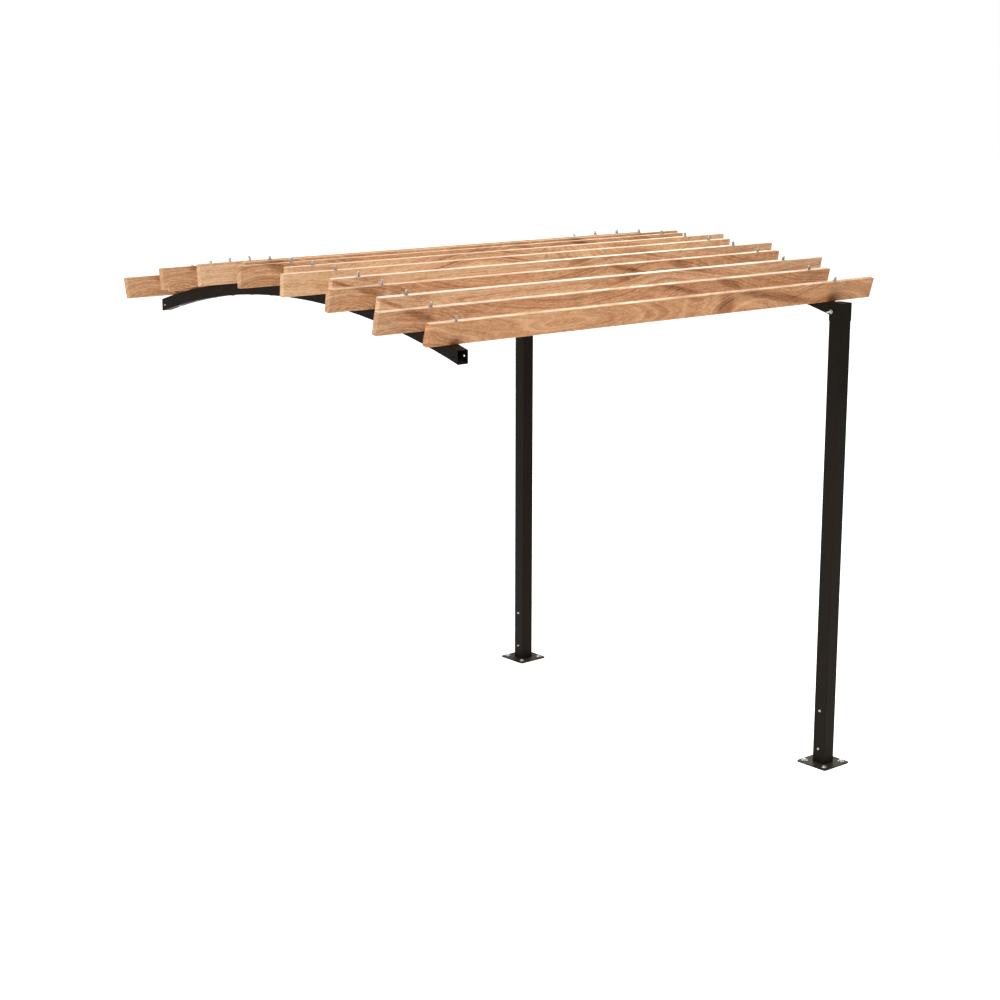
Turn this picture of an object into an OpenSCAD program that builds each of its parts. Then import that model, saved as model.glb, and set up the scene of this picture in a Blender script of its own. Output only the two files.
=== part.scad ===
// Lean-on pergola bay: two arched tube beams, fourteen wooden slats on edge,
// and two square posts under the right-hand beam. The left-hand beam has no
// posts, because it bolts to the bay beside it.
// X runs along the slats, Y from the front post to the rear post, Z is up.
// The origin is on the underside of the front base plate, on the post's axis.

/* [Posts] */
// Distance between the two post axes, front to rear
post_spacing = 2172; // [1500:1:3000]
// Outside width of the square post tube
post_w = 70; // [62:1:90]
// Wall of the post tube
post_wall = 2.5; // [2:0.5:5]
// Outside corner radius of the post tube
post_corner = 5; // [3:0.5:8]
// Height of the flat top of the post caps above the ground
cap_top = 2176; // [1800:1:2800]
// Heights of the two bolts that hold the post to its foot
foot_bolt_z = [74, 262];

/* [Base plates] */
// Side of the square base plate
plate_w = 176; // [160:1:260]
// Thickness of the base plate
plate_t = 6; // [4:1:16]
// Corner radius of the base plate
plate_corner = 12; // [4:1:24]
// Distance between two neighbouring anchor holes
anchor_pitch = 120; // [110:1:140]
// Diameter of each anchor hole
anchor_d = 12; // [8:1:16]
// Height of the square stub on the plate, inside the post
stub_h = 300; // [280:1:500]
// Wall of the stub
stub_wall = 3; // [2:0.5:5]
// Play between the stub and the post on each side
stub_play = 0.25; // [0.1:0.05:0.5]

/* [Post caps] */
// Wall of the cap
cap_wall = 2.25; // [1.5:0.25:4]
// Play between the cap and the post on each side
cap_play = 0.25; // [0.1:0.05:0.5]
// Height of the cap
cap_h = 82; // [78:1:120]
// Thickness of the cap's flat top
cap_t = 2.5; // [2:0.5:4]
// Distance of the cross bolt from the post's axis, towards the beam
cross_y = 22; // [16:1:24]
// Depth of a beam's top below the cap's top, where the beam leaves the cap
beam_drop = 4; // [4:0.5:12]

/* [Beams] */
// Distance between the two beams
beam_spacing = 2176; // [1500:1:3200]
// Width and height of the square beam tube
beam_w = 53; // [40:1:56]
// Wall of the beam tube
beam_wall = 2.5; // [2:0.5:4]
// Outside corner radius of the beam tube
beam_corner = 4; // [3:0.5:6]
// Radius of the beams' underside
beam_r = 3886; // [3000:1:6000]
// Play between a beam and the slot that it enters
slot_play = 0.75; // [0.5:0.25:1]

/* [Slats] */
// Length of a slat
slat_len = 2570; // [1800:1:3600]
// Height of a slat, square to the beam
slat_h = 93; // [70:1:140]
// Thickness of a slat
slat_t = 26; // [18:1:40]
// Radius on the slat's long edges
slat_edge = 3; // [1:0.5:6]
// Distance from the front post's axis to the foot of the first slat
first_slat_y = 63; // [60:1:200]
// Distance from the rear post's axis to the foot of the last slat
last_slat_y = 103; // [60:1:200]
// How far the odd slats stand to the right and the even slats to the left
stagger = 62; // [0:1:120]

/* [Bolts] */
// Diameter of the slat bolts and cross bolts
bolt_d = 8; // [6:1:10]
// Play round a bolt in its hole, on the diameter
bolt_play = 1; // [0.5:0.25:2]
// Outside diameter of a washer
washer_d = 20; // [16:1:24]
// Thickness of a washer
washer_t = 1.6; // [1:0.2:3]
// Diameter of a slat bolt's domed head, under the beam
slat_head_d = 20; // [16:1:24]
// Height of a slat bolt's domed head
slat_head_h = 4.8; // [3:0.2:6]
// How far a slat bolt stands above its slat
slat_bolt_up = 20; // [14:1:30]
// How far a cross bolt stands out of the cap
cross_bolt_out = 30; // [14:1:36]
// Diameter of the bolts in the post's foot
foot_bolt_d = 6; // [5:1:8]
// How far a foot bolt stands out of the post
foot_bolt_out = 10; // [8:1:16]

/* [Hidden] */
$fn = 64;
eps = 0.01;
slat_count = 14;
cap_w = post_w + 2 * (cap_play + cap_wall);
post_top = cap_top - cap_t;
cross_z = cap_top - cap_h / 2;
stub_w = post_w - 2 * (post_wall + stub_play);
slat_r = beam_r + beam_w;
slot_w = beam_w + 2 * slot_play;
// the arch's centre, from where the beams' tops leave the caps
arch_y = post_spacing / 2;
arch_z = cap_top - beam_drop - sqrt(pow(slat_r, 2) - pow(arch_y - cap_w / 2, 2));
arch_sweep = asin(arch_y / beam_r) + 2;
// angles of the first and the last slat on the arch, measured from its crown
first_a = -asin((arch_y - first_slat_y) / slat_r);
last_a = asin((arch_y - last_slat_y) / slat_r);
steel = [0.10, 0.095, 0.09];
timber = [0.72, 0.52, 0.35];
zinc = [0.74, 0.75, 0.76];

// angle of slat i, with the slats evenly spaced along the arch
function slat_a(i) = first_a + (last_a - first_a) * i / (slat_count - 1);
// height of a circle of radius r about the arch's centre, at the distance y
function arch_h(r, y) = arch_z + sqrt(r * r - pow(arch_y - y, 2));
slot_top = arch_h(slat_r, cap_w / 2) + slot_play;
slot_foot = arch_h(beam_r, post_w / 2 - post_wall) - 2 * slot_play;

// Rectangle with round corners, centred
module round_rect(w, h, r) {
  square([w - 2 * r, h], center = true);
  square([w, h - 2 * r], center = true);
  for (x = [-1, 1], y = [-1, 1])
    translate([x * (w / 2 - r), y * (h / 2 - r)]) circle(r);
}

// Section of a square tube
module tube_section(w, wall, r) {
  difference() {
    round_rect(w, w, r);
    round_rect(w - 2 * wall, w - 2 * wall, max(r - wall, 0.5));
  }
}

// Puts its children at the front post or, mirrored, at the rear post
module at_post(rear) {
  translate([0, rear ? post_spacing : 0, 0]) mirror([0, rear ? 1 : 0, 0]) children();
}

// Puts its children on the arch at the angle a, with Z along the radius
module on_arch(a, x = 0) {
  translate([x, arch_y, arch_z]) rotate([-a, 0, 0]) children();
}

// Hole across the post's top, where one bolt holds cap, post and beam
module cross_hole() {
  translate([0, cross_y, cross_z]) rotate([0, 90, 0])
    cylinder(d = bolt_d + bolt_play, h = 2 * cap_w, center = true);
}

// Holes across the post's foot and the stub inside it
module foot_holes() {
  for (z = foot_bolt_z) translate([0, 0, z]) rotate([0, 90, 0])
    cylinder(d = foot_bolt_d + bolt_play / 2, h = 2 * post_w, center = true);
}

// Square plate with a stub of tube on it, which the post slides over
module base_plate(rear) {
  color(steel) at_post(rear) difference() {
    union() {
      linear_extrude(plate_t) round_rect(plate_w, plate_w, plate_corner);
      linear_extrude(stub_h)
        tube_section(stub_w, stub_wall, post_corner - post_wall - stub_play);
    }
    for (x = [-1, 1], y = [-1, 1])
      translate([x * anchor_pitch / 2, y * anchor_pitch / 2, -1])
        cylinder(d = anchor_d, h = plate_t + 2);
    foot_holes();
  }
}

// Post tube: its top is a fork, open above, that the beam drops into
module post(rear) {
  color(steel) at_post(rear) difference() {
    translate([0, 0, plate_t]) linear_extrude(post_top - plate_t)
      tube_section(post_w, post_wall, post_corner);
    translate([-slot_w / 2, 0, slot_foot]) cube([slot_w, post_w, cap_top]);
    cross_hole();
    foot_holes();
  }
}

// Cap: closed on top, slides down over the fork and the beam's end
module post_cap(rear) {
  inside = post_w + 2 * cap_play;
  color(steel) at_post(rear) difference() {
    translate([0, 0, cap_top - cap_h]) linear_extrude(cap_h)
      round_rect(cap_w, cap_w, post_corner + cap_wall);
    translate([0, 0, cap_top - cap_h - 1]) linear_extrude(cap_h - cap_t + 1)
      round_rect(inside, inside, post_corner + cap_play);
    translate([-slot_w / 2, 0, 0]) cube([slot_w, cap_w, slot_top]);
    cross_hole();
  }
}

// Arched square tube from post axis to post axis, its ends cut upright
module beam(x) {
  reach = beam_r + 2 * beam_w;
  color(steel) difference() {
    intersection() {
      translate([x, arch_y, arch_z]) rotate([0, 90, 0])
        rotate([0, 0, 180 - arch_sweep]) rotate_extrude(angle = 2 * arch_sweep, $fn = 360)
          translate([beam_r + beam_w / 2, 0]) tube_section(beam_w, beam_wall, beam_corner);
      translate([x - beam_w, 0, 0]) cube([2 * beam_w, post_spacing, cap_top + reach]);
    }
    for (i = [0 : slat_count - 1]) on_arch(slat_a(i), x) translate([0, 0, beam_r - 2])
      cylinder(d = bolt_d + bolt_play, h = beam_w + 4);
    for (rear = [false, true]) at_post(rear) translate([x, 0, 0]) cross_hole();
  }
}

// Slat i from the front, on edge over both beams
module slat(i) {
  side = (i % 2 == 0) ? stagger : -stagger;
  color(timber) on_arch(slat_a(i)) difference() {
    translate([side - beam_spacing / 2, 0, slat_r + slat_h / 2])
      rotate([0, 90, 0]) linear_extrude(slat_len, center = true)
        round_rect(slat_h, slat_t, slat_edge);
    for (x = [0, -beam_spacing]) translate([x, 0, slat_r - 1])
      cylinder(d = bolt_d + bolt_play, h = slat_h + 2);
  }
}

// Rod of diameter d along Z from z = start, with a nut on z = grip and its end out above it
module shank(d, start, grip, out, wd, wt) {
  across = 1.6 * d;
  translate([0, 0, start]) cylinder(d = d, h = grip + out - start - d / 4);
  translate([0, 0, grip + out - d / 4 - eps]) cylinder(d1 = d, d2 = d * 0.6, h = d / 4 + eps);
  translate([0, 0, grip]) cylinder(d = wd, h = wt);
  translate([0, 0, grip + wt]) cylinder(d = across / cos(30), h = 0.8 * d, $fn = 6);
}

// Bolt with a washer and a hexagonal head under z = 0
module bolt(d, grip, out, wd, wt) {
  across = 1.6 * d;
  translate([0, 0, -wt - 0.65 * d]) cylinder(d = across / cos(30), h = 0.65 * d, $fn = 6);
  translate([0, 0, -wt]) cylinder(d = wd, h = wt);
  shank(d, -wt - eps, grip, out, wd, wt);
}

// Coach bolt with a domed head of width w and height h under z = 0
module coach_bolt(d, w, h, grip, out, wd, wt) {
  dome_r = (w * w / 4 + h * h) / (2 * h);
  intersection() {
    translate([0, 0, dome_r - h]) sphere(dome_r);
    translate([0, 0, -h - 1]) cylinder(d = w + 2, h = h + 1);
  }
  shank(d, -h / 2, grip, out, wd, wt);
}

// The bolts that hold every slat down on the beam at x
module slat_bolts(x) {
  color(zinc) for (i = [0 : slat_count - 1]) on_arch(slat_a(i), x)
    translate([0, 0, beam_r]) coach_bolt(bolt_d, slat_head_d, slat_head_h,
      beam_w + slat_h, slat_bolt_up, washer_d, washer_t);
}

// The bolt through cap, post and beam, with its nut on the left
module cross_bolt(rear) {
  color(zinc) at_post(rear) translate([cap_w / 2, cross_y, cross_z])
    rotate([0, -90, 0]) bolt(bolt_d, cap_w, cross_bolt_out, washer_d, washer_t);
}

// The bolts through post and stub, with their heads on the left
module foot_bolts(rear) {
  color(zinc) at_post(rear) for (z = foot_bolt_z) translate([-post_w / 2, 0, z])
    rotate([0, 90, 0]) bolt(foot_bolt_d, post_w, foot_bolt_out, 2 * foot_bolt_d, 1);
}

base_plate(false);  // front_base_plate
base_plate(true);  // rear_base_plate
post(false);  // front_post
post(true);  // rear_post
post_cap(false);  // front_post_cap
post_cap(true);  // rear_post_cap
beam(-beam_spacing);  // left_beam
beam(0);  // right_beam
slat(0);  // slat_01
slat(1);  // slat_02
slat(2);  // slat_03
slat(3);  // slat_04
slat(4);  // slat_05
slat(5);  // slat_06
slat(6);  // slat_07
slat(7);  // slat_08
slat(8);  // slat_09
slat(9);  // slat_10
slat(10);  // slat_11
slat(11);  // slat_12
slat(12);  // slat_13
slat(13);  // slat_14
slat_bolts(-beam_spacing);  // left_slat_bolts
slat_bolts(0);  // right_slat_bolts
cross_bolt(false);  // front_cross_bolt
cross_bolt(true);  // rear_cross_bolt
foot_bolts(false);  // front_foot_bolts
foot_bolts(true);  // rear_foot_bolts
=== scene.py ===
import math

import bmesh
import bpy
import numpy as np
from mathutils import Matrix, Vector


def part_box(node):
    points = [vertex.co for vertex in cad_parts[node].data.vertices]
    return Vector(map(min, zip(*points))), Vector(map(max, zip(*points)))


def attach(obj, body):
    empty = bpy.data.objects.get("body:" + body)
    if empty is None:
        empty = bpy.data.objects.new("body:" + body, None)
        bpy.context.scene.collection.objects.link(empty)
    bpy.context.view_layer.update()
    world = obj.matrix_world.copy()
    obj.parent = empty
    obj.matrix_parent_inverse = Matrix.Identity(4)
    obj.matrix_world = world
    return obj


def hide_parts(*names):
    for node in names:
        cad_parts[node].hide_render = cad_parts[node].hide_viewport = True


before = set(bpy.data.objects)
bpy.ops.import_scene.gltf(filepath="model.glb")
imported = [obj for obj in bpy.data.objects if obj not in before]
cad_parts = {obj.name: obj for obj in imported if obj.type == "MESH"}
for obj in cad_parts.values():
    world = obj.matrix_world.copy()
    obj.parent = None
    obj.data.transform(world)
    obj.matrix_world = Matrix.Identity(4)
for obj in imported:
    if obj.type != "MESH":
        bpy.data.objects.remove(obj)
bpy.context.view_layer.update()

scene = bpy.context.scene
rng = np.random.default_rng(7)
mm = 0.001


def linearColour(hexValue):
    # sRGB hex to linear: below 0.04045 divide by 12.92, above it the 2.4 power curve
    parts = np.array([int(hexValue[i:i + 2], 16) / 255 for i in (1, 3, 5)])
    low, high = parts / 12.92, ((parts + 0.055) / 1.055) ** 2.4
    return (*np.where(parts <= 0.04045, low, high), 1.0)


def addNode(tree, kind, links=None, **settings):
    # one node: settings named inN set input N's value, the others are the node's own properties,
    # and links maps an input (name or number) to the output that feeds it
    node = tree.nodes.new(kind)
    for name, value in settings.items():
        if name.startswith("in") and name[2:].isdigit():
            node.inputs[int(name[2:])].default_value = value
        else:
            setattr(node, name, value)
    for socket, source in (links or {}).items():
        tree.links.new(source, node.inputs[socket])
    return node


def newMaterial(name):
    material = bpy.data.materials.new(name)
    material.use_nodes = True
    material.node_tree.nodes.clear()
    return material, material.node_tree


def rampStops(ramp, stops):
    # stops: (position, hex colour or grey number)
    elements = ramp.color_ramp.elements
    while len(elements) < len(stops):
        elements.new(0.5)
    for element, (position, colour) in zip(elements, stops):
        element.position = position
        element.color = linearColour(colour) if isinstance(colour, str) else (colour,) * 3 + (1,)


def meshPiece(name, verts, faces, material, fields=None, node=None):
    # a mesh at the origin with its doubles merged, smooth but for its sharp edges
    weld, sharp = 0.002 * mm, math.radians(35)
    mesh = bpy.data.meshes.new(name)
    mesh.from_pydata(verts.tolist(), [], faces.tolist())
    for field, values in (fields or {}).items():
        kind = "FLOAT_VECTOR" if values.ndim == 2 else "FLOAT"
        data = mesh.attributes.new(field, kind, "POINT").data
        data.foreach_set("vector" if values.ndim == 2 else "value", values.astype(np.float32).ravel())
    bm = bmesh.new()
    bm.from_mesh(mesh)
    bmesh.ops.remove_doubles(bm, verts=bm.verts, dist=weld)
    bmesh.ops.recalc_face_normals(bm, faces=bm.faces)
    bm.to_mesh(mesh)
    bm.free()
    mesh.shade_smooth()
    mesh.set_sharp_from_angle(angle=sharp)
    mesh.materials.append(material)
    piece = bpy.data.objects.new(name, mesh)
    scene.collection.objects.link(piece)
    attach(piece, "root")
    if node:
        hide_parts(node)
    return piece


def gridFaces(rows, columns, start=0):
    # quads of a grid of rows x columns points whose columns run round a closed loop
    row, column = np.meshgrid(np.arange(rows - 1), np.arange(columns), indexing="ij")
    following = (column + 1) % columns
    quads = np.stack([row * columns + column, row * columns + following,
                      (row + 1) * columns + following, (row + 1) * columns + column], -1)
    return quads.reshape(-1, 4) + start


def joined(parts):
    # several (verts, faces) as one
    counts = np.cumsum([0] + [len(verts) for verts, _ in parts])
    return (np.concatenate([verts for verts, _ in parts]),
            np.concatenate([faces + count for (_, faces), count in zip(parts, counts)]))


slatNames = sorted(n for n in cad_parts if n.startswith("slat_"))
slatBoxes = [[np.array(corner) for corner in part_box(n)] for n in slatNames]
slatCentres = np.array([(low + high) / 2 for low, high in slatBoxes])
# a circle through the slats' middles: y^2 + z^2 = 2 cy y + 2 cz z + a constant
system = np.c_[2 * slatCentres[:, 1:], np.ones(len(slatNames))]
archY, archZ, _ = np.linalg.lstsq(system, (slatCentres[:, 1:] ** 2).sum(1), rcond=None)[0]
slatTilt = np.arctan2(slatCentres[:, 1] - archY, slatCentres[:, 2] - archZ)
slatReach = np.hypot(slatCentres[:, 1] - archY, slatCentres[:, 2] - archZ).mean()
print("arch centre", round(float(archY), 4), round(float(archZ), 4),
      "reach", round(float(slatReach), 4))


board = {
    "height": 93 * mm, "thick": 26 * mm,
    "edge": 3 * mm,          # radius along the long edges
    "endEase": 1.8 * mm,     # radius round the sawn ends
    "step": 8 * mm,          # between stations along the board
    "acrossFace": 24, "acrossEdge": 4,      # divisions over a wide face and over a narrow one
    "edgePoints": 6, "easePoints": 5,       # points round a long edge and round a sawn end
    "faceMargin": 0.012, "edgeMargin": 0.04,        # share of a face's width next to its arris
    "besideArris": 0.6,      # how much of the arris's paleness that margin has
    "endSteps": (1, 0.75, 0.45, 0.25),      # rings of an end face, as shares of half the thickness
}
halfHeight = board["height"] / 2 / mm


def boardSection(inset):
    # rounded rectangle drawn in by inset: four quarter circles, radius (cos, sin) about the
    # corner centres, joined by straight runs; (y, z) for every inset, and 1 on an arris, 0 off it
    halfY, halfZ = board["thick"] / 2 - inset, board["height"] / 2 - inset
    radius = np.maximum(board["edge"] - inset, 0.0)
    turn = np.linspace(0, math.pi / 2, board["edgePoints"])
    arcs = [np.stack([signY * (halfY - radius) + radius * np.cos(turn + quarter * math.pi / 2),
                      signZ * (halfZ - radius) + radius * np.sin(turn + quarter * math.pi / 2)], -1)
            for quarter, (signY, signZ) in enumerate([(1, 1), (-1, 1), (-1, -1), (1, -1)])]
    points, arris = [], []
    for index, arc in enumerate(arcs):
        following = arcs[(index + 1) % 4][:, :1]
        wide = index % 2 == 1
        count = board["acrossFace"] if wide else board["acrossEdge"]
        margin = board["faceMargin"] if wide else board["edgeMargin"]
        share = np.r_[margin, np.linspace(0, 1, count + 1)[1:-1], 1 - margin]
        points += [arc, arc[:, -1:] + share[:, None] * (following - arc[:, -1:])]
        beside = (share <= margin) | (share >= 1 - margin)
        arris += [np.ones(len(turn)), board["besideArris"] * beside]
    return np.concatenate(points, 1), np.concatenate(arris)


def boardSurface(length):
    # the section carried along x; at each end it draws in on a quarter circle, and the
    # end face is the section shrunk in steps onto its middle line
    ease, half = board["endEase"], board["thick"] / 2
    quarter = np.linspace(0, math.pi / 2, board["easePoints"])
    shrink = np.array(board["endSteps"]) * half
    insets = np.r_[shrink, ease * (1 - np.sin(quarter))]
    ends = np.r_[np.zeros(len(shrink)), ease * (1 - np.cos(quarter))]
    inner = np.linspace(0, length, int(length / board["step"]))[1:-1]
    stations = np.r_[ends, inner, length - ends[::-1]]
    inset = np.r_[insets, np.zeros(len(inner)), insets[::-1]]
    section, near = boardSection(inset[:, None])
    section[inset >= half, :, 0] = 0
    along = np.broadcast_to(stations[:, None, None], section.shape[:2] + (1,))
    rings = np.concatenate([along, section], -1)
    onSide = (inset < shrink[-1])[:, None]
    nearEnd = onSide & (np.minimum(stations, length - stations) < ease)[:, None]
    arris = np.maximum(onSide * near, nearEnd)
    return rings.reshape(-1, 3), gridFaces(*section.shape[:2]), arris.ravel()


# How each board was sawn, in mm from its left end and its middle line.
# base: how dark the board is; end: how much darker its sawn ends are; and a share for how far its upper
# face is painted pale, a painted highlight
# hearts: (x, z, stretch along the board, roundness, start) that the growth rings close round
# bands: (x, reach, ring distance, half width, amount) darker growth close to a heart
# stains: (x, z, half length, half height, slope, amount) darker or paler wood anywhere
figures = {
    "knotty": {
        "base": 0.31, "end": 0.13,
        "hearts": [(0, -10, 1.8, 2, 20), (0, -60, 4.3, 2, 0), (565, 92, 4.1, 2, 0), (700, -12, 7, 2, 40),
                   (1800, -54, 2.5, 2, 8), (2330, -62, 3.4, 2, 0), (2700, 60, 5, 2, 10)],
        "bands": [(1100, 110, 97, 3.6, -0.26), (1180, 110, 108, 3, -0.14), (565, 200, 70, 5, -0.24),
                  (240, 200, 102, 7, -0.22), (20, 60, 54, 4, -0.12), (1500, 90, 118, 6, -0.16),
                  (2180, 200, 74, 6, -0.16)],
        "stains": [(1930, 6, 280, 19, -0.17, 0.30), (1612, -4, 50, 64, 0, 0.26),
                   (1770, -20, 106, 19, -0.15, -0.18), (1190, 0, 60, 40, 0, 0.12),
                   (1360, 0, 12, 60, 0, -0.12), (1480, 0, 14, 60, 0, -0.12)]},
    "crown": {
        "base": 0.38,
        "hearts": [(110, -62, 2.7, 2, 0), (930, 96, 4.6, 2, 0), (1820, -66, 2.7, 2, 0),
                   (2640, 96, 4.6, 2, 0)],
        "bands": [(110, 150, 76, 3.5, -0.20), (110, 150, 69, 3.5, 0.12), (110, 150, 57, 4, -0.10),
                  (900, 260, 120, 6, -0.14), (1815, 140, 76, 3.5, -0.20), (1815, 140, 69, 3.5, 0.12)],
        "stains": [(190, 26, 80, 17, -0.33, 0.26), (1590, 24, 150, 11, -0.22, 0.26),
                   (1915, 24, 85, 18, -0.28, 0.26), (285, 10, 16, 40, 0, -0.10),
                   (1072, 14, 26, 46, 0, -0.08), (1480, 2, 60, 14, -0.2, -0.10),
                   (2010, 14, 18, 40, 0, -0.10)]},
    "peak": {
        "base": 0.055, "bleach": 0.5,
        "hearts": [(-260, -120, 4.5, 2, 0), (1560, -118, 4.2, 1.3, 0), (2900, -160, 5, 2, 0),
                   (700, 170, 9, 2, 30)],
        "bands": [(1560, 330, 174, 7.5, 0.5), (1560, 330, 158, 5, 0.22), (1560, 330, 166, 3, -0.16),
                  (1560, 200, 130, 6, 0.2)],
        "stains": [(60, 18, 80, 8, -0.33, 0.34), (190, 34, 70, 18, -0.1, 0.16),
                   (1330, 30, 60, 26, 0, 0.10), (2270, 0, 400, 70, 0, 0.07)]},
    "gable": {
        "base": 0.06, "end": 0.07, "bleach": 0.25,
        "hearts": [(-500, -200, 5, 2, 0), (1014, -118, 4.2, 1.3, 0), (2000, 70, 3.4, 2, 10),
                   (2900, -120, 5, 2, 0)],
        "bands": [(1014, 330, 174, 7.5, 0.5), (1014, 330, 158, 5, 0.22),
                  (1014, 330, 166, 3, -0.16)],
        "stains": [(2000, 10, 190, 24, -0.1, 0.26), (1500, 20, 120, 9, -0.1, 0.14)]},
    "quiet": {
        "base": 0.01, "end": 0.2,
        "hearts": [(600, -230, 16, 2, 0), (2500, -200, 9, 2, 0)],
        "bands": [(150, 420, 268, 4, 0.14), (150, 420, 252, 4, -0.10), (150, 420, 243, 4, 0.08),
                  (150, 420, 226, 5, -0.16), (150, 420, 208, 5, 0.10), (150, 420, 193, 4, -0.10)],
        "stains": [(2340, 8, 180, 20, -0.12, 0.34), (1250, -20, 400, 10, 0.02, 0.14)]},
}
sawn = ["knotty", "crown", "peak", "crown", "peak", "gable", "gable",
        "crown", "crown", "quiet", "quiet", "crown", "crown", "crown"]      # from the front board back
ringField = {
    "blend": 14,             # mm over which two hearts' rings merge
    "lean": 0.5,             # slant of the rings through the thickness
    "depth": 1.55,           # strength of bands and stains
    # painted highlight: the next share is how much darkness the narrow upper face loses
    "narrow": 0.45,          # share of its darkness that the narrow upper face loses
    "faceEdge": 1.5,         # mm over which a wide face gives way to the upper one
    "endDepth": 0.5,         # mm from an end that count as sawn
    # waves that bend the rings: mm of shift, then mm along and up for one radian
    "alongWaves": [(14, 143, 61), (6, 59, -25)],
    "upWaves": [(3.2, 171, math.inf), (1.5, 67, 38), (0.8, 29, -17)],
    "toneWaves": [(0.08, 61), (0.055, 27), (0.03, 17)],      # darkness, and mm of growth for a wave
}


def slowWaves(x, z, waves, phase):
    # sum of size * sin(x / along + z / up + start)
    return sum(size * np.sin(x / along + z / up + start)
               for (size, along, up), start in zip(waves, phase))


def upperShare(z):
    # 0 on the wide faces, rising in a straight line to 1 on the narrow upper face
    return np.clip((z - halfHeight) / ringField["faceEdge"] + 1, 0, 1)


def growthField(points, figure, seed):
    # soft minimum over the hearts of ((|x| / stretch) ^ p + |z| ^ p) ^ (1 / p), with x and z
    # first shifted a few mm by slow waves
    phase = np.random.default_rng(seed).uniform(0, 2 * math.pi, 5)
    x, y, z = points.T / mm
    along = x + slowWaves(x, z, ringField["alongWaves"], phase[:2])
    up = z + ringField["lean"] * y + slowWaves(x, z, ringField["upWaves"], phase[2:])
    close = 0
    for heartX, heartZ, stretch, power, start in figure["hearts"]:
        sideways, upward = np.abs((along - heartX) / stretch), np.abs(up - heartZ)
        away = (sideways ** power + upward ** power) ** (1 / power)
        close = close + np.exp(-(away + start) / ringField["blend"])
    return -ringField["blend"] * np.log(close)


def toneField(points, grown, figure, seats, seed):
    # base darkness plus three waves in the growth distance, plus a bell exp(-r^2) for each band, a
    # flat-topped bell exp(-r^4) for each stain, and a dark bell on the lower edge where the board sits
    # on a beam, painted shade; the narrow upper face is painted paler, a painted highlight, and a sawn
    # end can be darker
    phase = np.random.default_rng(seed + 100).uniform(0, 2 * math.pi, 3)
    x, y, z = points.T / mm
    tone = figure["base"] + sum(size * np.sin(2 * math.pi * grown / period + start)
                                for (size, period), start in zip(ringField["toneWaves"], phase))
    for bandX, reach, distance, half, amount in figure["bands"]:
        r2 = ((x - bandX) / reach) ** 2 + ((grown - distance) / half) ** 2
        tone += ringField["depth"] * amount * np.exp(-r2)
    for stainX, stainZ, long, tall, slope, amount in figure["stains"]:
        middle = stainZ + slope * (x - stainX)
        r2 = ((x - stainX) / long) ** 2 + ((z - middle) / tall) ** 2
        tone += ringField["depth"] * amount * np.exp(-r2 ** 2)
    # painted shade: a dark bell on the lower edge where the board sits on a beam
    for seatX, wide, tall, amount in seats:
        tone += amount * np.exp(-((x - seatX) / wide) ** 2 - ((z + halfHeight) / tall) ** 2)
    sawnEnd = (x < ringField["endDepth"]) | (x > x.max() - ringField["endDepth"])
    # painted highlight: the narrow upper face made paler
    paler = upperShare(z) * ringField["narrow"] * figure["base"]
    return tone - paler + sawnEnd * figure.get("end", 0)


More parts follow.
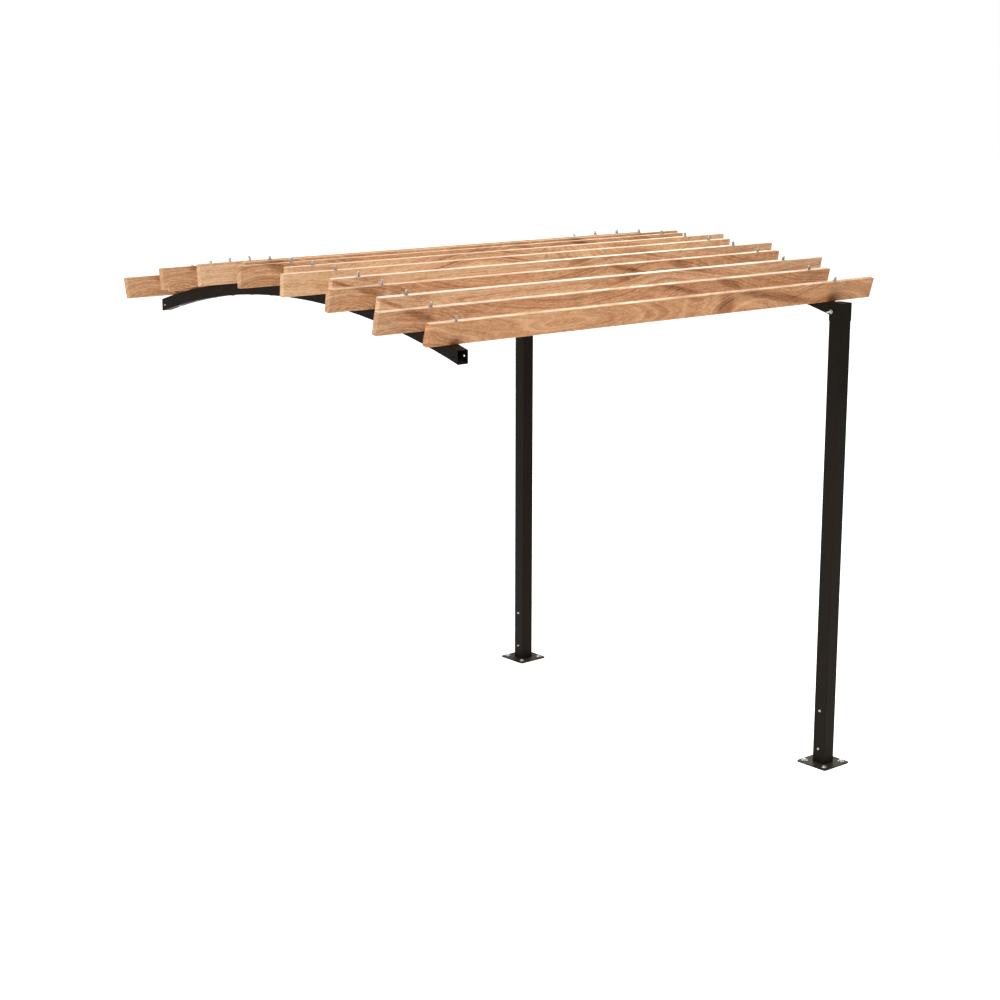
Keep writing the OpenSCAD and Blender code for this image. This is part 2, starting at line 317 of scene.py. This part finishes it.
def oiledLarch():
    # larch, planed, eased and oiled: warm tan with soft brown growth lines and short fibres, a dull
    # satin sheen, paler on the arrises, partly where the oil is thin and partly a painted edge highlight
    look = {
        "light": "#F0CCA5", "pale": "#E4BA90", "honey": "#CC9C74", "middle": "#B58259",
        "brown": "#9A6A47", "deep": "#70482D",
        # next line: a paler arris colour, partly thin oil and partly a painted edge highlight; a pale
        # colour for painted highlights on upper faces; a warm tint for painted warm light
        "arris": "#E0B380", "topHighlight": "#F0E6D9", "warm": "#FFEFE0",
        "ring": 11, "wander": 7,            # mm between rings, and mm that a line wanders in all
        "wanderScale": (9, 55, 55),         # waves in a metre, so 111 mm long and 18 mm high
        "fibre": 3.2, "grain": 19,          # mm thick and mm long
        "streak": 60, "gloss": 160,         # mm long
        "ringStrength": (0.1, 1.3),         # the faintest and the strongest late wood
        "lateWood": 0.38, "fibres": 1.6, "streaks": 0.5,    # shares in the darkness
        "darkness": (0.89, 2.19),           # sums that give the palest and the deepest colour
        "paleArris": 0.2,
        "rough": (0.28, 0.5), "fibreRough": 0.2,
        "bump": (0.25, 0.6 * mm),           # strength and depth
        "ior": 1.5, "specular": 0.4,
    }
    material, tree = newMaterial("oiledLarch")
    place = addNode(tree, "ShaderNodeAttribute", attribute_name="board").outputs["Vector"]
    growth = addNode(tree, "ShaderNodeAttribute", attribute_name="growth").outputs["Fac"]
    tone = addNode(tree, "ShaderNodeAttribute", attribute_name="tone").outputs["Fac"]
    arris = addNode(tree, "ShaderNodeAttribute", attribute_name="arris").outputs["Fac"]
    # the lines wander to and fro, mostly by about 2 mm
    wanderPlace = addNode(tree, "ShaderNodeMapping", {0: place}, in3=look["wanderScale"])
    wander = addNode(tree, "ShaderNodeTexNoise", {"Vector": wanderPlace.outputs[0]}, in2=1.0, in3=3.0)
    shift = addNode(tree, "ShaderNodeMath", {0: wander.outputs[0]}, operation="MULTIPLY_ADD",
                    in1=look["wander"], in2=-look["wander"] / 2)
    grown = addNode(tree, "ShaderNodeMath", {0: growth, 1: shift.outputs[0]}, operation="ADD")
    # rings: pale early wood, a soft rise to the late wood and a quick fall, and each ring has
    # its own strength
    rings = addNode(tree, "ShaderNodeMath", {0: grown.outputs[0]}, operation="DIVIDE", in1=look["ring"])
    share = addNode(tree, "ShaderNodeMath", {0: rings.outputs[0]}, operation="FRACT")
    line = addNode(tree, "ShaderNodeValToRGB", {0: share.outputs[0]})
    rampStops(line, [(0.0, 0.5), (0.08, 0.05), (0.2, 0.05), (0.34, 0.5), (0.7, 0.62), (0.86, 1.0),
                     (1.0, 0.5)])
    strength = addNode(tree, "ShaderNodeTexNoise", {"W": rings.outputs[0]}, noise_dimensions="1D",
                       in2=0.45, in3=2.0)
    level = addNode(tree, "ShaderNodeMapRange", {0: strength.outputs[0]}, in1=0.3, in2=0.7,
                    in3=look["ringStrength"][0], in4=look["ringStrength"][1])
    lateWood = addNode(tree, "ShaderNodeMath", {0: line.outputs[0], 1: level.outputs[0]},
                       operation="MULTIPLY")
    # real fibres are far finer than the 3 mm drawn here, but they wouldn't show; the streaks
    # are broader, 60 by 12 mm
    fibrePlace = addNode(tree, "ShaderNodeMapping", {0: place},
                         in3=(1000 / look["grain"], 1000 / look["fibre"], 1000 / look["fibre"]))
    fibre = addNode(tree, "ShaderNodeTexNoise", {"Vector": fibrePlace.outputs[0]}, in2=1.0, in3=5.0,
                    in4=0.66)
    streakPlace = addNode(tree, "ShaderNodeMapping", {0: place},
                          in3=(1000 / look["streak"], 5000 / look["streak"], 5000 / look["streak"]))
    streak = addNode(tree, "ShaderNodeTexNoise", {"Vector": streakPlace.outputs[0]}, in2=1.0, in3=3.0)
    # all summed to one darkness
    first = addNode(tree, "ShaderNodeMath", {0: lateWood.outputs[0], 2: tone},
                    operation="MULTIPLY_ADD", in1=look["lateWood"])
    second = addNode(tree, "ShaderNodeMath", {0: fibre.outputs[0], 2: first.outputs[0]},
                     operation="MULTIPLY_ADD", in1=look["fibres"])
    third = addNode(tree, "ShaderNodeMath", {0: streak.outputs[0], 2: second.outputs[0]},
                    operation="MULTIPLY_ADD", in1=look["streaks"])
    darkness = addNode(tree, "ShaderNodeMapRange", {0: third.outputs[0]}, in1=look["darkness"][0],
                       in2=look["darkness"][1])
    ramp = addNode(tree, "ShaderNodeValToRGB", {0: darkness.outputs[0]})
    rampStops(ramp, [(0.0, look["light"]), (0.23, look["pale"]), (0.46, look["honey"]),
                     (0.654, look["middle"]), (0.846, look["brown"]), (1.0, look["deep"])])
    # paler arrises: partly thin oil, partly a painted edge highlight
    lighter = addNode(tree, "ShaderNodeMath", {0: arris}, operation="MULTIPLY", in1=look["paleArris"])
    colour = addNode(tree, "ShaderNodeMix", {0: lighter.outputs[0], 6: ramp.outputs[0]},
                     data_type="RGBA", in7=linearColour(look["arris"]))
    # painted highlight: some boards' upper faces are mixed toward a pale colour
    bleach = addNode(tree, "ShaderNodeAttribute", attribute_name="bleach").outputs["Fac"]
    topHighlight = addNode(tree, "ShaderNodeMix", {0: bleach, 6: colour.outputs[2]}, data_type="RGBA",
                     in7=linearColour(look["topHighlight"]))
    # painted warm light: the front board, with no neighbour before it to warm it with bounced light, has
    # its colour tinted a little warmer
    warm = addNode(tree, "ShaderNodeAttribute", attribute_name="warm").outputs["Fac"]
    tintedColour = addNode(tree, "ShaderNodeMix", {0: warm, 6: topHighlight.outputs[2]}, data_type="RGBA",
                    blend_type="MULTIPLY", in7=linearColour(look["warm"]))
    # the oil lies in patches a hand long: glossier and duller
    patchPlace = addNode(tree, "ShaderNodeMapping", {0: place},
                         in3=(1000 / look["gloss"], 6000 / look["gloss"], 6000 / look["gloss"]))
    patch = addNode(tree, "ShaderNodeTexNoise", {"Vector": patchPlace.outputs[0]}, in2=1.0, in3=3.0)
    oil = addNode(tree, "ShaderNodeMapRange", {0: patch.outputs[0]}, in1=0.35, in2=0.65,
                  in3=look["rough"][0], in4=look["rough"][1])
    rough = addNode(tree, "ShaderNodeMath", {0: fibre.outputs[0], 2: oil.outputs[0]},
                    operation="MULTIPLY_ADD", in1=look["fibreRough"])
    relief = addNode(tree, "ShaderNodeMath", {0: fibre.outputs[0], 1: lateWood.outputs[0]},
                     operation="ADD")
    bump = addNode(tree, "ShaderNodeBump", {"Height": relief.outputs[0]}, in0=look["bump"][0],
                   in1=look["bump"][1])
    surface = addNode(tree, "ShaderNodeBsdfPrincipled",
                      {"Base Color": tintedColour.outputs[2], "Roughness": rough.outputs[0],
                       "Normal": bump.outputs[0]})
    surface.inputs["IOR"].default_value = look["ior"]
    surface.inputs["Specular IOR Level"].default_value = look["specular"]
    addNode(tree, "ShaderNodeOutputMaterial", {0: surface.outputs[0]})
    return material


larch = oiledLarch()
beamMiddles = [(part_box(side + "_beam")[0][0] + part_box(side + "_beam")[1][0]) / 2
               for side in ("left", "right")]
# painted shade where a board sits on the left and on the right beam, the dark of the beam and post cap
# below drawn into the wood: mm to each side, mm up and darkness
seatPaintedShade = [(30, 20, 0.6), (36, 36, 0.6)]
patternShift = np.array([3.7, 0.31, 0.17])      # metres from one board's pattern to the next
for index, (name, (low, high)) in enumerate(zip(slatNames, slatBoxes)):
    points, faces, arris = boardSurface(float(high[0] - low[0]))
    figure = figures[sawn[index]]
    grown = growthField(points, figure, index)
    # the painted beam shade, placed at each beam's middle
    seats = [((middle - low[0]) / mm, *shading) for middle, shading in zip(beamMiddles, seatPaintedShade)]
    tone = toneField(points, grown, figure, seats, index)
    # turned about x by the board's tilt, then out along the arch's radius
    tilt, away = slatTilt[index], slatReach + points[:, 2]
    verts = np.c_[points[:, 0] + low[0],
                  archY + points[:, 1] * math.cos(tilt) + away * math.sin(tilt),
                  archZ - points[:, 1] * math.sin(tilt) + away * math.cos(tilt)]
    fields = {"board": points + patternShift * index, "growth": grown, "tone": tone, "arris": arris,
              # painted highlight on the upper faces of some boards
              "bleach": upperShare(points[:, 2] / mm) * figure.get("bleach", 0.0),
              # painted warm light on the front board only
              "warm": np.full(len(points), 1.0 if index == 0 else 0.0)}
    meshPiece("larch_" + name, verts, faces, larch, fields, name)
print("boards", len(slatNames))


def blackPowderCoat():
    # polyester powder coat baked on galvanised square tube: nearly black with a brown cast,
    # satin, a faint orange peel, and dust where it faces up
    look = {
        "coat": "#19140F", "worn": "#1F1914", "dust": "#5E554B",
        "peel": 2.5, "cloud": 220,          # mm across
        "dustShare": 0.3,                   # the most that lies on a level face
        "rough": (0.36, 0.48),
        "bump": (0.15, 0.3 * mm),           # strength and depth
        "ior": 1.5, "specular": 0.08,
    }
    material, tree = newMaterial("blackPowderCoat")
    place = addNode(tree, "ShaderNodeTexCoord").outputs["Object"]
    normal = addNode(tree, "ShaderNodeNewGeometry").outputs["Normal"]
    cloud = addNode(tree, "ShaderNodeTexNoise", {"Vector": place}, in2=1000 / look["cloud"], in3=4.0)
    peel = addNode(tree, "ShaderNodeTexNoise", {"Vector": place}, in2=1000 / look["peel"], in3=2.0)
    base = addNode(tree, "ShaderNodeMix", {0: cloud.outputs[0]}, data_type="RGBA")
    base.inputs[6].default_value = linearColour(look["coat"])
    base.inputs[7].default_value = linearColour(look["worn"])
    split = addNode(tree, "ShaderNodeSeparateXYZ", {0: normal})
    up = addNode(tree, "ShaderNodeMapRange", {0: split.outputs[2]}, in1=0.6, in2=1.0, in3=0.0,
                 in4=look["dustShare"])
    dusty = addNode(tree, "ShaderNodeMath", {0: up.outputs[0], 1: cloud.outputs[0]},
                    operation="MULTIPLY")
    colour = addNode(tree, "ShaderNodeMix", {0: dusty.outputs[0], 6: base.outputs[2]}, data_type="RGBA")
    colour.inputs[7].default_value = linearColour(look["dust"])
    rough = addNode(tree, "ShaderNodeMapRange", {0: cloud.outputs[0]}, in3=look["rough"][0],
                    in4=look["rough"][1])
    bump = addNode(tree, "ShaderNodeBump", {"Height": peel.outputs[0]}, in0=look["bump"][0],
                   in1=look["bump"][1])
    surface = addNode(tree, "ShaderNodeBsdfPrincipled",
                      {"Base Color": colour.outputs[2], "Roughness": rough.outputs[0],
                       "Normal": bump.outputs[0]})
    surface.inputs["IOR"].default_value = look["ior"]
    surface.inputs["Specular IOR Level"].default_value = look["specular"]
    addNode(tree, "ShaderNodeOutputMaterial", {0: surface.outputs[0]})
    return material


coat = blackPowderCoat()
for name in ("front_base_plate", "rear_base_plate", "front_post", "rear_post",
             "front_post_cap", "rear_post_cap", "left_beam", "right_beam"):
    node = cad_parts[name]
    node.data.materials.clear()
    node.data.materials.append(coat)
print("steel coated")


def zincPlate(name, shades, gloss):
    # zinc plated steel, clear passivated: a cold grey metal, slightly mottled, that mirrors softly; made
    # as a darker copy for the roof bolts and a lighter copy for the bolts at the posts and base plates,
    # the difference between them painted shade and painted highlight
    mottleScale = 260.0      # blotches in a metre, so each is about 4 mm
    material, tree = newMaterial(name)
    place = addNode(tree, "ShaderNodeTexCoord").outputs["Object"]
    mottle = addNode(tree, "ShaderNodeTexNoise", {"Vector": place}, in2=mottleScale, in3=3.0)
    ramp = addNode(tree, "ShaderNodeValToRGB", {0: mottle.outputs[0]})
    rampStops(ramp, list(zip((0.3, 0.55, 0.75), shades)))
    rough = addNode(tree, "ShaderNodeMapRange", {0: mottle.outputs[0]}, in3=gloss[0], in4=gloss[1])
    surface = addNode(tree, "ShaderNodeBsdfPrincipled",
                      {"Base Color": ramp.outputs[0], "Roughness": rough.outputs[0]})
    surface.inputs["Metallic"].default_value = 1.0
    addNode(tree, "ShaderNodeOutputMaterial", {0: surface.outputs[0]})
    return material


turning = {
    "hexPoints": 48, "washerPoints": 40, "capPoints": 32, "rodPoints": 24,      # points round each
    "domeRings": 9,                     # rings from a dome's rim to its pole
    "washerEase": 0.18,                 # share of a washer's thickness that its rim is eased by
    # a hexagon's chamfer: steps in depth, the radius it starts from, as shares of the width
    # across flats, and degrees
    "chamferSteps": (0, 0.02, 0.04, 0.062), "chamferFrom": 0.475, "chamferAngle": 30,
}
thread = {
    "rowsPerTurn": 6, "leastRows": 8,
    "depth": 0.61,                      # share of the pitch
    "tip": 0.2, "tipSlope": 0.9,        # length of the end's cone, in diameters, and its slope
    "lead": 0.2 * mm,                   # from the plain rod to the first turn
}


def turned(radii, heights):
    # rings of radius radii[k, angle] at heights[k] about z
    angle = np.linspace(0, 2 * math.pi, radii.shape[1], endpoint=False)
    verts = np.stack([radii * np.cos(angle), radii * np.sin(angle),
                      np.broadcast_to(np.reshape(heights, (len(radii), -1)), radii.shape)], -1)
    return verts.reshape(-1, 3), gridFaces(*radii.shape)


def hexagon(across, height, base, bore, chamferTop=True, chamferFoot=True):
    # six flats: across / 2 / cos of the angle from the nearest flat's middle, cut by 30 degree
    # cones at the ends
    angle = np.linspace(0, 2 * math.pi, turning["hexPoints"], endpoint=False)
    flats = across / 2 / np.cos((angle + math.pi / 6) % (math.pi / 3) - math.pi / 6)
    depth = np.array(turning["chamferSteps"]) * across
    up = np.r_[depth, height - depth[::-1]]
    away = np.full(len(up), across)
    if chamferFoot:
        away[:len(depth)] = depth
    if chamferTop:
        away[len(depth):] = depth[::-1]
    slope = math.tan(math.radians(turning["chamferAngle"]))
    body = np.minimum(flats, turning["chamferFrom"] * across + away[:, None] / slope)
    inner = np.full((1, len(angle)), bore)
    radii = np.concatenate([inner, body, inner, inner])
    heights = np.r_[0, up, height, 0] if bore else np.r_[0, up, height, height]
    return turned(radii, heights + base)


def washer(outer, bore, thick, base):
    # flat ring with eased rims
    ease = turning["washerEase"] * thick
    radii = np.array([bore, outer - ease, outer, outer, outer - ease, bore, bore])
    heights = np.array([0, 0, ease, thick - ease, thick, thick, 0]) + base
    return turned(np.repeat(radii[:, None], turning["washerPoints"], 1), heights)


def shank(diameter, pitch, plainFrom, threadFrom, threadTo):
    # a plain rod, then a helical thread: radius = core + depth times a triangle wave of
    # height / pitch - angle / full turn, running out in a cone at the tip
    rows = max(int((threadTo - threadFrom) / pitch * thread["rowsPerTurn"]), thread["leastRows"])
    angle = np.linspace(0, 2 * math.pi, turning["rodPoints"], endpoint=False)
    heights = np.linspace(threadFrom, threadTo, rows)
    depth = thread["depth"] * pitch
    wave = np.abs(((heights[:, None] / pitch - angle / (2 * math.pi)) % 1) * 2 - 1)
    radii = diameter / 2 - depth * (1 - wave)
    intoTip = np.clip(heights - (threadTo - thread["tip"] * diameter), 0, None)
    cone = diameter / 2 - intoTip * thread["tipSlope"]
    radii = np.minimum(radii, cone[:, None])
    foot = np.array([[0.0], [diameter / 2], [diameter / 2]]) * np.ones(len(angle))
    radii = np.concatenate([foot, radii, np.zeros((1, len(angle)))])
    return turned(radii, np.r_[plainFrom, plainFrom, threadFrom - thread["lead"], heights, threadTo])


def dome(width, height, rim):
    # coach bolt head under z = 0: a thin upright rim, then a cap of radius
    # (half width ^ 2 + rise ^ 2) / (2 rise), down to its pole
    rise = height - rim
    capRadius = (width * width / 4 + rise * rise) / (2 * rise)
    reach = math.asin(width / 2 / capRadius)
    angle = np.linspace(reach, 0, turning["domeRings"])
    radii = np.r_[0, width / 2, width / 2, capRadius * np.sin(angle[1:])]
    heights = -np.r_[0, 0, rim, rim + rise - capRadius * (1 - np.cos(angle[1:]))]
    return turned(np.repeat(radii[:, None], turning["washerPoints"], 1), heights)


def capDome(width, foot, tip):
    # closed top of a cap nut: an upright wall, then a hemisphere of half the width up to its pole
    angle = np.linspace(0, math.pi / 2, turning["domeRings"])
    radii = np.r_[0, width / 2, width / 2 * np.cos(angle[:-1]), 0]
    heights = np.r_[foot, foot, tip - width / 2 * (1 - np.sin(angle))]
    return turned(np.repeat(radii[:, None], turning["capPoints"], 1), heights)


def spun(part, angle):
    # turned about z by angle
    verts, faces = part
    c, s = math.cos(angle), math.sin(angle)
    return verts @ np.array([[c, s, 0], [-s, c, 0], [0, 0, 1]]), faces


def aimed(part, origin, direction):
    # z turned to direction, then moved to origin
    verts, faces = part
    z = np.array(direction, float) / np.linalg.norm(direction)
    x = np.cross([0, 1, 0] if abs(z[1]) < 0.9 else [1, 0, 0], z)
    x /= np.linalg.norm(x)
    return verts @ np.array([x, np.cross(z, x), z]) + np.array(origin), faces


# shares of the rod's diameter: width across flats, height of head and nut, and where a cap
# nut's dome starts; and how much of its length a rod keeps under a cap nut
boltShares = {"across": 1.6, "head": 0.65, "nut": 0.8, "capFrom": 0.75, "rodUnderCap": 0.8}


def boltSet(size, grip, out, washerOut, washerThick, pitch, domed=None, capWidth=None,
            turnHead=0.0, turnNut=0.0):
    # head, rod, washer and nut along z, with the grip from 0 up; a hexagonal head sits on a
    # washer, and a cap nut hides the rod's end
    across, headHeight = boltShares["across"] * size, boltShares["head"] * size
    if domed:
        head = [dome(*domed)]
    else:
        hexHead = hexagon(across, headHeight, -washerThick - headHeight, 0.0, chamferTop=False)
        head = [spun(hexHead, turnHead), washer(washerOut / 2, size / 2, washerThick, -washerThick)]
    seated = grip + washerThick
    rodEnd = grip + out * (boltShares["rodUnderCap"] if capWidth else 1)
    rest = [shank(size, pitch, -washerThick / 2, grip + washerThick / 2, rodEnd),
            washer(washerOut / 2, size / 2, washerThick, grip),
            spun(hexagon(across, boltShares["nut"] * size, seated, size / 2), turnNut)]
    if capWidth:
        rest.append(capDome(capWidth, seated + boltShares["capFrom"] * size, grip + out))
    return joined(head + rest)


# painted light: the same zinc as a darker copy, a painted shade, and a lighter copy, a painted highlight
zincShadedCopy = zincPlate("zincPlate", ("#989B9E", "#B9BBBB", "#CFCDC6"), (0.22, 0.38))
zincLitCopy = zincPlate("zincPlateLitCopy", ("#B4B7BA", "#D2D4D4", "#E4E3DE"), (0.18, 0.34))
# size: the rod's diameter; out: how far it stands out past the grip; domed: width, height and
# rim of a domed head
bolts = {
    "slat": dict(size=8 * mm, out=20 * mm, washerOut=20 * mm, washerThick=1.6 * mm, pitch=1.25 * mm,
                 domed=(20 * mm, 4.8 * mm, 0.8 * mm), capWidth=11.6 * mm),
    "cross": dict(size=8 * mm, out=30 * mm, washerOut=20 * mm, washerThick=1.6 * mm, pitch=1.25 * mm),
    "foot": dict(size=6 * mm, out=10 * mm, washerOut=12 * mm, washerThick=1.0 * mm, pitch=1.0 * mm),
}
beamDepth = 53 * mm
seat = slatReach - board["height"] / 2 - beamDepth     # arch radius under the beams

for side in ("left", "right"):
    low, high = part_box(side + "_beam")
    middle = (low[0] + high[0]) / 2
    parts = []
    for tilt in slatTilt:
        part = boltSet(grip=beamDepth + board["height"], turnNut=rng.uniform(0, 1), **bolts["slat"])
        radial = np.array([0, math.sin(tilt), math.cos(tilt)])
        parts.append(aimed(part, np.array([middle, archY, archZ]) + seat * radial, radial))
    verts, faces = joined(parts)
    meshPiece(side + "_slat_bolt_row", verts, faces, zincShadedCopy, node=side + "_slat_bolts")

for end in ("front", "rear"):
    low, high = [np.array(corner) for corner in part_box(end + "_post_cap")]
    bolt = [np.array(corner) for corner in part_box(end + "_cross_bolt")]
    part = boltSet(grip=float(high[0] - low[0]), turnHead=0.3, turnNut=0.7, **bolts["cross"])
    origin = [high[0], (bolt[0][1] + bolt[1][1]) / 2, (bolt[0][2] + bolt[1][2]) / 2]
    verts, faces = aimed(part, origin, [-1, 0, 0])
    meshPiece(end + "_cap_bolt", verts, faces, zincLitCopy, node=end + "_cross_bolt")
    low, high = [np.array(corner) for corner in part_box(end + "_post")]
    pair = [np.array(corner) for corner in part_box(end + "_foot_bolts")]
    half = bolts["foot"]["washerOut"] / 2
    parts = []
    for z in (pair[0][2] + half, pair[1][2] - half):
        part = boltSet(grip=float(high[0] - low[0]), turnHead=rng.uniform(0, 1),
                       turnNut=rng.uniform(0, 1), **bolts["foot"])
        parts.append(aimed(part, [low[0], (low[1] + high[1]) / 2, z], [1, 0, 0]))
    verts, faces = joined(parts)
    meshPiece(end + "_foot_bolt_pair", verts, faces, zincLitCopy, node=end + "_foot_bolts")

# anchor bolts on broad washers at the base plates' corners
anchor = dict(spacing=120 * mm, size=10 * mm, across=17 * mm, head=6.4 * mm, washerOut=30 * mm,
              washerThick=2.5 * mm, plate=6 * mm, intoHead=0.1 * mm)
for end in ("front", "rear"):
    low, high = [np.array(corner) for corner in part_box(end + "_base_plate")]
    centre = (low + high) / 2
    parts = []
    for signX in (-1, 1):
        for signY in (-1, 1):
            half = anchor["size"] / 2
            head = hexagon(anchor["across"], anchor["head"], anchor["washerThick"], 0.0,
                           chamferFoot=False)
            rod = np.array([0, half, half, 0])[:, None] * np.ones(turning["rodPoints"])
            foot, top = -anchor["plate"], anchor["washerThick"] + anchor["intoHead"]
            one = joined([washer(anchor["washerOut"] / 2, half, anchor["washerThick"], 0),
                          spun(head, rng.uniform(0, 1)),
                          turned(rod, np.array([foot, foot, top, top]))])
            place = [centre[0] + signX * anchor["spacing"] / 2,
                     centre[1] + signY * anchor["spacing"] / 2, low[2] + anchor["plate"]]
            parts.append(aimed(one, place, [0, 0, 1]))
    verts, faces = joined(parts)
    meshPiece(end + "_anchors", verts, faces, zincLitCopy)
print("fasteners set")


studio = {
    "floorColour": "#F4F3F1", "floorRough": 0.9, "floorLift": 0.9, "worldLight": 0.456,
    "floorReach": 60, "floorCentre": (-1, 1), "floorPoints": 96,
    "floorDrop": 0.4 * mm,       # keeps it clear of the base plates' undersides
    "lights": [
        # name, place, aimed at, size, watts, colour
        ("rearOverheadBox", (-1.0, 3.6, 5.8), (-1.1, 3.5, 0), 4.5, 200, "#FFFFFF"),
        ("frontOverheadBox", (-1.0, -3.5, 5.8), (-1.1, -1.0, 0), 4.5, 43, "#FFFFFF"),
        ("backBox", (7.35, 7.35, 7.35), (-1.0, 0.8, 2.3), 3.4, 390, "#FFF9E8"),
        ("leftBox", (-8.5, 2.0, 3.5), (-1.1, 1.1, 1.6), 4.5, 204, "#FFFFFF"),
        ("frontLeftBox", (-6.5, -5.0, 4.8), (-1.1, 1.1, 1.8), 3.0, 97, "#FFFFFF"),
        ("floorWash", (-1.0, -2.0, 1.8), (-1.0, -2.0, 0), 3.5, 48, "#FFFFFF"),
    ],
}


def studioFloor():
    # matt painted studio floor, lifted for the camera so that it stays pale to the horizon
    material, tree = newMaterial("studioFloor")
    path = addNode(tree, "ShaderNodeLightPath")
    surface = addNode(tree, "ShaderNodeBsdfPrincipled")
    surface.inputs["Base Color"].default_value = linearColour(studio["floorColour"])
    surface.inputs["Roughness"].default_value = studio["floorRough"]
    surface.inputs["Specular IOR Level"].default_value = 0.0
    glow = addNode(tree, "ShaderNodeEmission", in1=studio["floorLift"])
    dark = addNode(tree, "ShaderNodeEmission", in1=0.0)
    seen = addNode(tree, "ShaderNodeMixShader",
                   {0: path.outputs["Is Camera Ray"], 1: dark.outputs[0], 2: glow.outputs[0]})
    total = addNode(tree, "ShaderNodeAddShader", {0: surface.outputs[0], 1: seen.outputs[0]})
    addNode(tree, "ShaderNodeOutputMaterial", {0: total.outputs[0]})
    return material


# a level disc: reach times (cos, sin) about its centre
around = np.linspace(0, 2 * math.pi, studio["floorPoints"], endpoint=False)
circle = studio["floorReach"] * np.c_[np.cos(around), np.sin(around)] + studio["floorCentre"]
rim = np.c_[circle, np.full(len(around), -studio["floorDrop"])]
floorMesh = bpy.data.meshes.new("floor")
floorMesh.from_pydata(rim.tolist(), [], [list(range(len(around)))])
floorMesh.materials.append(studioFloor())
floor = bpy.data.objects.new("floor", floorMesh)
scene.collection.objects.link(floor)

world = bpy.data.worlds.new("studio")
scene.world = world
world.use_nodes = True
tree = world.node_tree
tree.nodes.clear()
path = addNode(tree, "ShaderNodeLightPath")
seen = addNode(tree, "ShaderNodeBackground", in0=(1, 1, 1, 1), in1=1.0)
lit = addNode(tree, "ShaderNodeBackground", in0=(1, 1, 1, 1), in1=studio["worldLight"])
both = addNode(tree, "ShaderNodeMixShader",
               {0: path.outputs["Is Camera Ray"], 1: lit.outputs[0], 2: seen.outputs[0]})
addNode(tree, "ShaderNodeOutputWorld", {0: both.outputs[0]})

for name, place, target, size, power, tint in studio["lights"]:
    data = bpy.data.lights.new(name, "AREA")
    data.shape, data.size, data.energy, data.color = "SQUARE", size, power, linearColour(tint)[:3]
    lamp = bpy.data.objects.new(name, data)
    lamp.location = place
    lamp.rotation_mode = "QUATERNION"
    lamp.rotation_quaternion = (Vector(target) - Vector(place)).to_track_quat("-Z", "Y")
    lamp.visible_camera = False
    scene.collection.objects.link(lamp)

cameraSet = {
    "place": (-6.74639, -5.66897, 3.21003),
    # degrees: clockwise from +Y as seen from above, down, and counter-clockwise about the view
    "yaw": 39.990, "pitch": 12.614, "roll": 0.039,
    "lens": 69.864, "sensor": 36,
}
yaw, pitch, roll = (math.radians(cameraSet[k]) for k in ("yaw", "pitch", "roll"))
forward = Vector((math.sin(yaw) * math.cos(pitch), math.cos(yaw) * math.cos(pitch), -math.sin(pitch)))
right = Vector((math.cos(yaw), -math.sin(yaw), 0))
up = right.cross(forward)
rightRolled = right * math.cos(roll) + up * math.sin(roll)
upRolled = up * math.cos(roll) - right * math.sin(roll)
cameraData = bpy.data.cameras.new("camera")
cameraData.lens, cameraData.sensor_width = cameraSet["lens"], cameraSet["sensor"]
camera = bpy.data.objects.new("camera", cameraData)
turn = Matrix((rightRolled, upRolled, -forward)).transposed().to_4x4()
camera.matrix_world = Matrix.Translation(cameraSet["place"]) @ turn
scene.collection.objects.link(camera)
bpy.context.scene.camera = camera
scene.view_settings.view_transform = "Standard"
print("studio ready")
